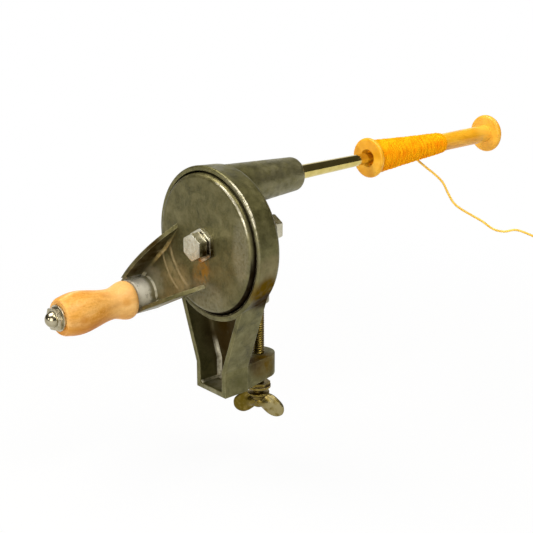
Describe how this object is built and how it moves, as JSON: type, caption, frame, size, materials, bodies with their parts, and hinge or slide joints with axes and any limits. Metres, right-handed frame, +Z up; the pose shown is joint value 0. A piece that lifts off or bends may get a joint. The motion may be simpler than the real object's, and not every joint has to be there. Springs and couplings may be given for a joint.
{
  "type": "hand bobbin winder",
  "caption": "Table-clamped hand bobbin winder: cranked wheel in a round cast case drives a tapered spindle that carries a flanged wooden bobbin part wound with yarn.",
  "frame": {"origin": "on the seat of the upper clamp jaw, where the table top bears", "axes": "+X along the spindle away from the crank, +Y to the crank handle's side at rest, +Z up"},
  "size_m": [0.2939, 0.1159, 0.1451],
  "materials": {
    "cast_case": "sand-cast metal gone olive grey, worn satin",
    "cast_wheel": "sand-cast metal gone olive grey, rubbed bright on edges and boss",
    "bronze": "oiled bronze",
    "steel_bolt": "plain steel, lightly rusted",
    "steel_spindle": "polished steel",
    "chrome_nut": "bright chrome",
    "grip_wood": "varnished hardwood, golden brown",
    "bobbin_wood": "light turned hardwood",
    "yarn": "orange yellow spun yarn",
    "clamp_brass": "tarnished brass-washed steel"
  },
  "bodies": {
    "case": {"gear_case": "cast_case", "axle_bush": "bronze", "front_spindle_bush": "bronze", "rear_spindle_bush": "bronze", "yarn_tail": "yarn"},
    "crank": {"drive_wheel": "cast_wheel", "axle_bolt": "steel_bolt", "axle_head_washer": "steel_bolt", "axle_front_nut": "steel_bolt", "hub_jam_nut": "steel_bolt", "axle_rear_washer": "steel_bolt", "axle_lock_nut": "steel_bolt", "handle_bolt": "steel_bolt", "handle_inner_washer": "steel_bolt", "handle_outer_washer": "steel_bolt", "handle_acorn_nut": "chrome_nut", "handle_lock_nut": "steel_bolt"},
    "grip": {"handle_grip": "grip_wood"},
    "spindle_line": {"spindle": "steel_spindle", "pinion": "bronze", "pinion_pin": "steel_bolt", "pinion_thrust_washer": "bronze", "bobbin": "bobbin_wood", "yarn_core": "yarn", "yarn_winding": "yarn"},
    "pad": {"clamp_pad": "steel_bolt"},
    "screw": {"clamp_screw": "clamp_brass", "clamp_jam_nut": "clamp_brass", "clamp_wing_nut": "clamp_brass"}
  },
  "joints": [
    {"name": "crank_spin", "type": "hinge", "parent": "case", "child": "crank", "pos_m": [0, 0, 0.03], "axis": [1, 0, 0], "continuous": true},
    {"name": "spindle_spin", "type": "hinge", "parent": "case", "child": "spindle_line", "pos_m": [0.05, 0, 0.057], "axis": [1, 0, 0], "continuous": true},
    {"name": "grip_spin", "type": "hinge", "parent": "crank", "child": "grip", "pos_m": [-0.07, 0.045, -0.00723], "axis": [1, 0, 0], "continuous": true},
    {"name": "clamp_travel", "type": "slide", "parent": "case", "child": "pad", "axis": [0, 0, 1], "range_m": [-0.024, 0.0024]},
    {"name": "clamp_turn", "type": "hinge", "parent": "pad", "child": "screw", "pos_m": [0.0052, 0, -0.04], "axis": [0, 0, 1], "range_deg": [-6804, 681]}
  ],
  "couplings": [
    {"joint": "spindle_spin", "follows": "crank_spin", "ratio": 5.5},
    {"joint": "clamp_turn", "follows": "clamp_travel", "rad_per_m": 4947.4}
  ]
}
